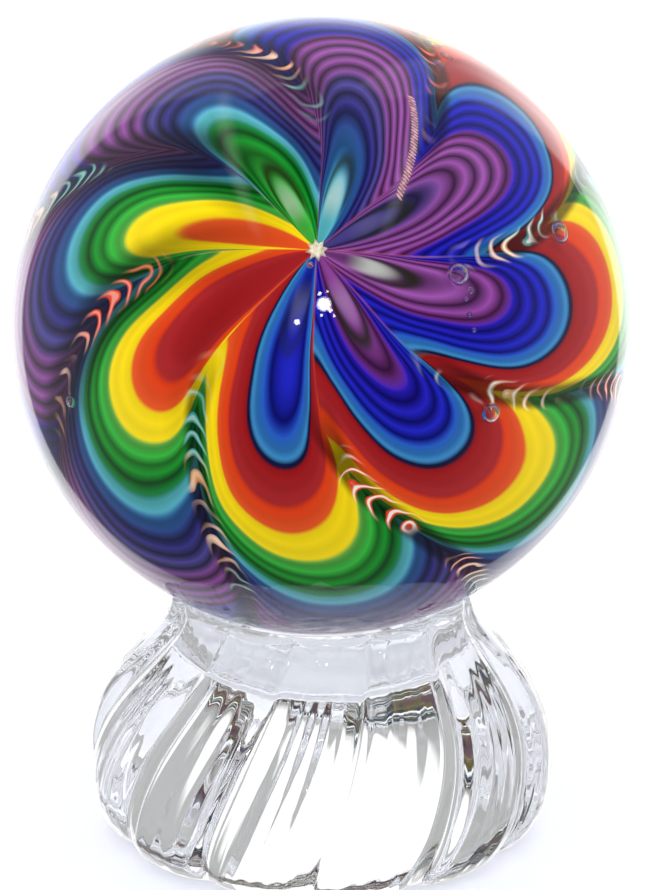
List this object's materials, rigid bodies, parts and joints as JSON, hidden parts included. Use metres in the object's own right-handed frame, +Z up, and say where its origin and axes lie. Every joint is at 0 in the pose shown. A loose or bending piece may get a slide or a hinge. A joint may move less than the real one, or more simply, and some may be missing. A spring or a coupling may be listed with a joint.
{
  "type": "glass paperweight with stand",
  "caption": "Solid glass ball with a combed coloured flower sealed in clear glass, resting in the cup of a squat, twisted, fluted clear glass stand.",
  "frame": {"origin": "centre of the stand's flat foot, on the surface that it stands on", "axes": "+Z up through the stand and the ball; the pictured front of the object looks along -Y, with +X to its right"},
  "size_m": [0.076, 0.076, 0.1038],
  "materials": {
    "coloured_glass": "opaque combed colours, from dark red through yellow, green and blue to violet, under polished clear glass",
    "clear_glass": "clear, fire-polished"
  },
  "bodies": {
    "root": {"glass_ball": "coloured_glass", "fluted_stand": "clear_glass"}
  },
  "joints": []
}
